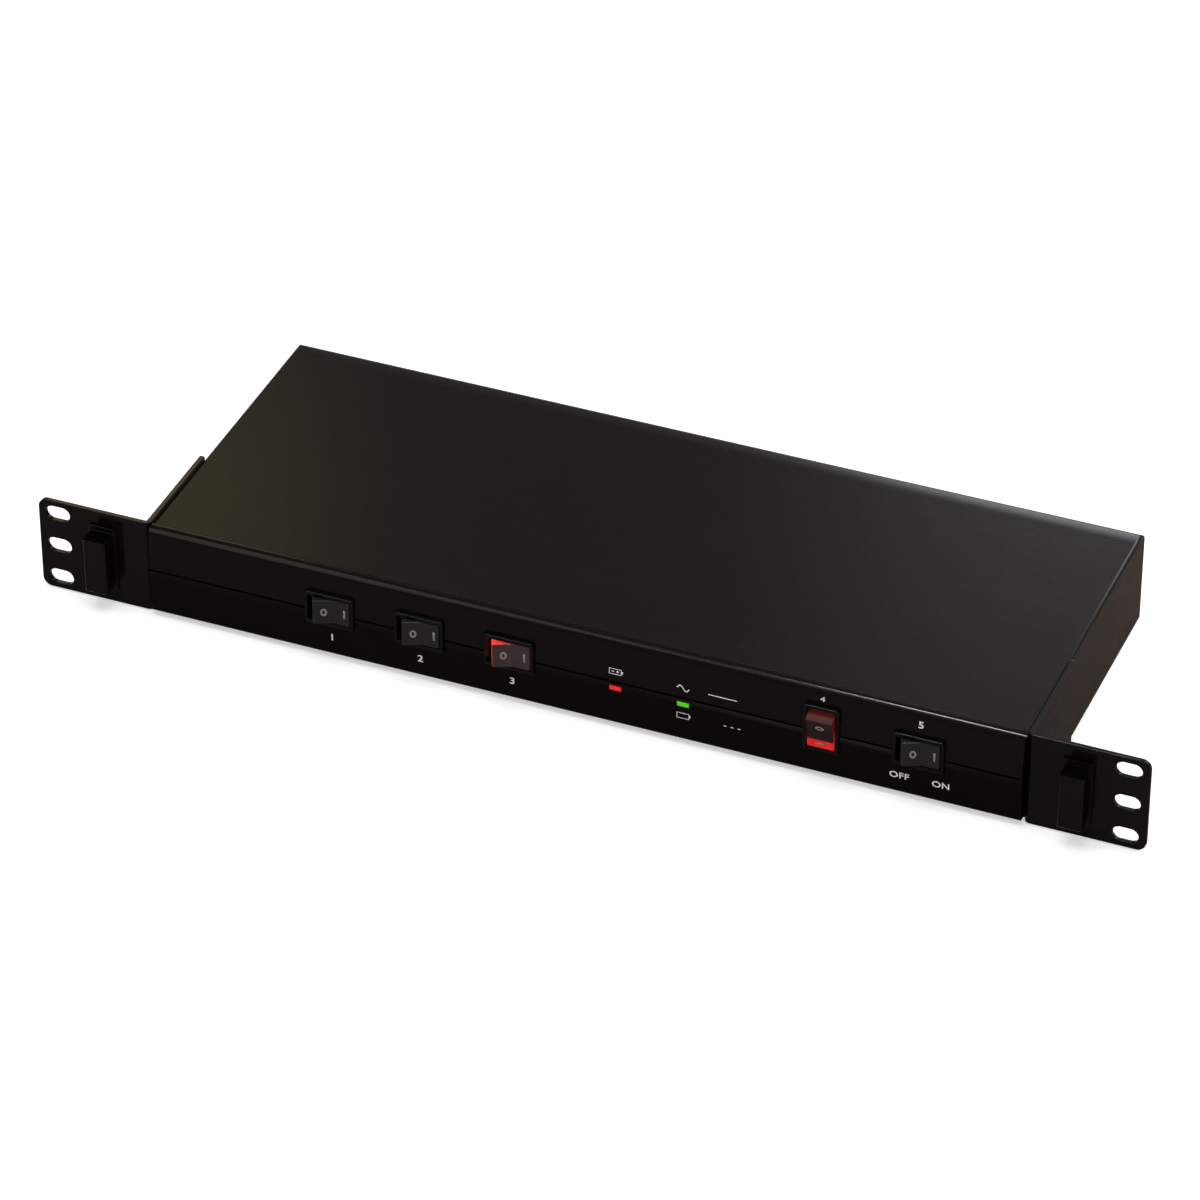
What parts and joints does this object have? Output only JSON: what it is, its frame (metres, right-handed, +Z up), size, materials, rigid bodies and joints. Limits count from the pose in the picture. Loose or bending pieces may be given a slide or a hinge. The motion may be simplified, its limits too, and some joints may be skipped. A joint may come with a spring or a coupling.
{
  "type": "rack uninterruptible power supply",
  "caption": "Slim one-unit rack power backup unit: black sheet body, glossy front with rocker switches and signal lamps, slotted rack ears with pull handles, rear sockets.",
  "frame": {"origin": "centre of the pattern of rack slots, on the rear face of the ears, which meets the rack rails", "axes": "+X to the right seen from the front, +Y to the back of the unit, +Z up"},
  "size_m": [0.4826, 0.1655, 0.0438],
  "materials": {
    "black_sheet": "satin powder coat",
    "ear_coat": "semi-gloss powder coat",
    "bezel_gloss": "gloss",
    "handle_black": "semi-gloss",
    "switch_frame": "satin",
    "rocker_grey": "satin",
    "rocker_red": "translucent",
    "lamp_red": "translucent",
    "lamp_green": "translucent",
    "brass_tab": "bright",
    "socket_black": "satin",
    "button_black": "satin",
    "battery_case": "satin",
    "foam_grey": "matt foam",
    "pad_rubber": "matt",
    "board_green": "satin",
    "post_metal": "plain",
    "film_clear": "satin",
    "core_steel": "laminated",
    "coil_tape": "taped",
    "sink_metal": "extruded",
    "chip_black": "matt",
    "relay_case": "satin",
    "can_sleeve": "gloss",
    "fuse_glass": "clear",
    "clip_steel": "bright",
    "block_green": "satin",
    "choke_wire": "lacquered"
  },
  "bodies": {
    "chassis": {"chassis_tray": "black_sheet", "top_cover": "black_sheet", "rear_panel": "black_sheet", "front_bezel": "bezel_gloss", "left_bracket": "ear_coat", "right_bracket": "ear_coat", "left_handle": "handle_black", "right_handle": "handle_black", "switch_1_housing": "switch_frame", "switch_2_housing": "switch_frame", "switch_3_housing": "switch_frame", "switch_4_housing": "switch_frame", "switch_5_housing": "switch_frame", "switch_blades": "brass_tab", "fault_lamp": "lamp_red", "status_lamp": "lamp_green", "lamp_board": "board_green", "power_inlet": "socket_black", "inlet_pins": "brass_tab", "power_outlet_1": "socket_black", "power_outlet_2": "socket_black", "power_outlet_3": "socket_black", "breaker_body": "socket_black", "front_battery": "battery_case", "rear_battery": "battery_case", "battery_pads": "pad_rubber", "battery_tabs": "brass_tab", "battery_foam": "foam_grey", "main_board": "board_green", "board_standoffs": "post_metal", "insulation_sheet": "film_clear", "transformer_core": "core_steel", "transformer_winding": "coil_tape", "heat_sink": "sink_metal", "power_transistors": "chip_black", "relays": "relay_case", "capacitors": "can_sleeve", "fuse_clips": "clip_steel", "glass_fuse": "fuse_glass", "terminal_block": "block_green", "buzzer": "chip_black", "choke": "choke_wire"},
    "rocker_1": {"switch_1_rocker": "rocker_grey"},
    "rocker_2": {"switch_2_rocker": "rocker_grey"},
    "rocker_3": {"switch_3_rocker": "rocker_red"},
    "rocker_4": {"switch_4_rocker": "rocker_red"},
    "rocker_5": {"switch_5_rocker": "rocker_grey"},
    "reset_button": {"breaker_button": "button_black"}
  },
  "joints": [
    {"name": "rocker_1_tilt", "type": "hinge", "parent": "chassis", "child": "rocker_1", "pos_m": [-0.1082, -0.00024, 0.0026], "axis": [0, 0, -1], "range_deg": [0, 25]},
    {"name": "rocker_2_tilt", "type": "hinge", "parent": "chassis", "child": "rocker_2", "pos_m": [-0.0684, -0.00024, 0.0026], "axis": [0, 0, -1], "range_deg": [0, 25]},
    {"name": "rocker_3_tilt", "type": "hinge", "parent": "chassis", "child": "rocker_3", "pos_m": [-0.0286, -0.00024, 0.0026], "axis": [0, 0, -1], "range_deg": [0, 25]},
    {"name": "rocker_4_tilt", "type": "hinge", "parent": "chassis", "child": "rocker_4", "pos_m": [0.106, -0.00024, 0.0026], "axis": [-1, 0, 0], "range_deg": [0, 25]},
    {"name": "rocker_5_tilt", "type": "hinge", "parent": "chassis", "child": "rocker_5", "pos_m": [0.147, -0.00024, 0.0026], "axis": [0, 0, -1], "range_deg": [0, 25]},
    {"name": "reset_button_slide", "type": "slide", "parent": "chassis", "child": "reset_button", "axis": [0, 1, 0], "range_m": [0, 0.0025]}
  ]
}
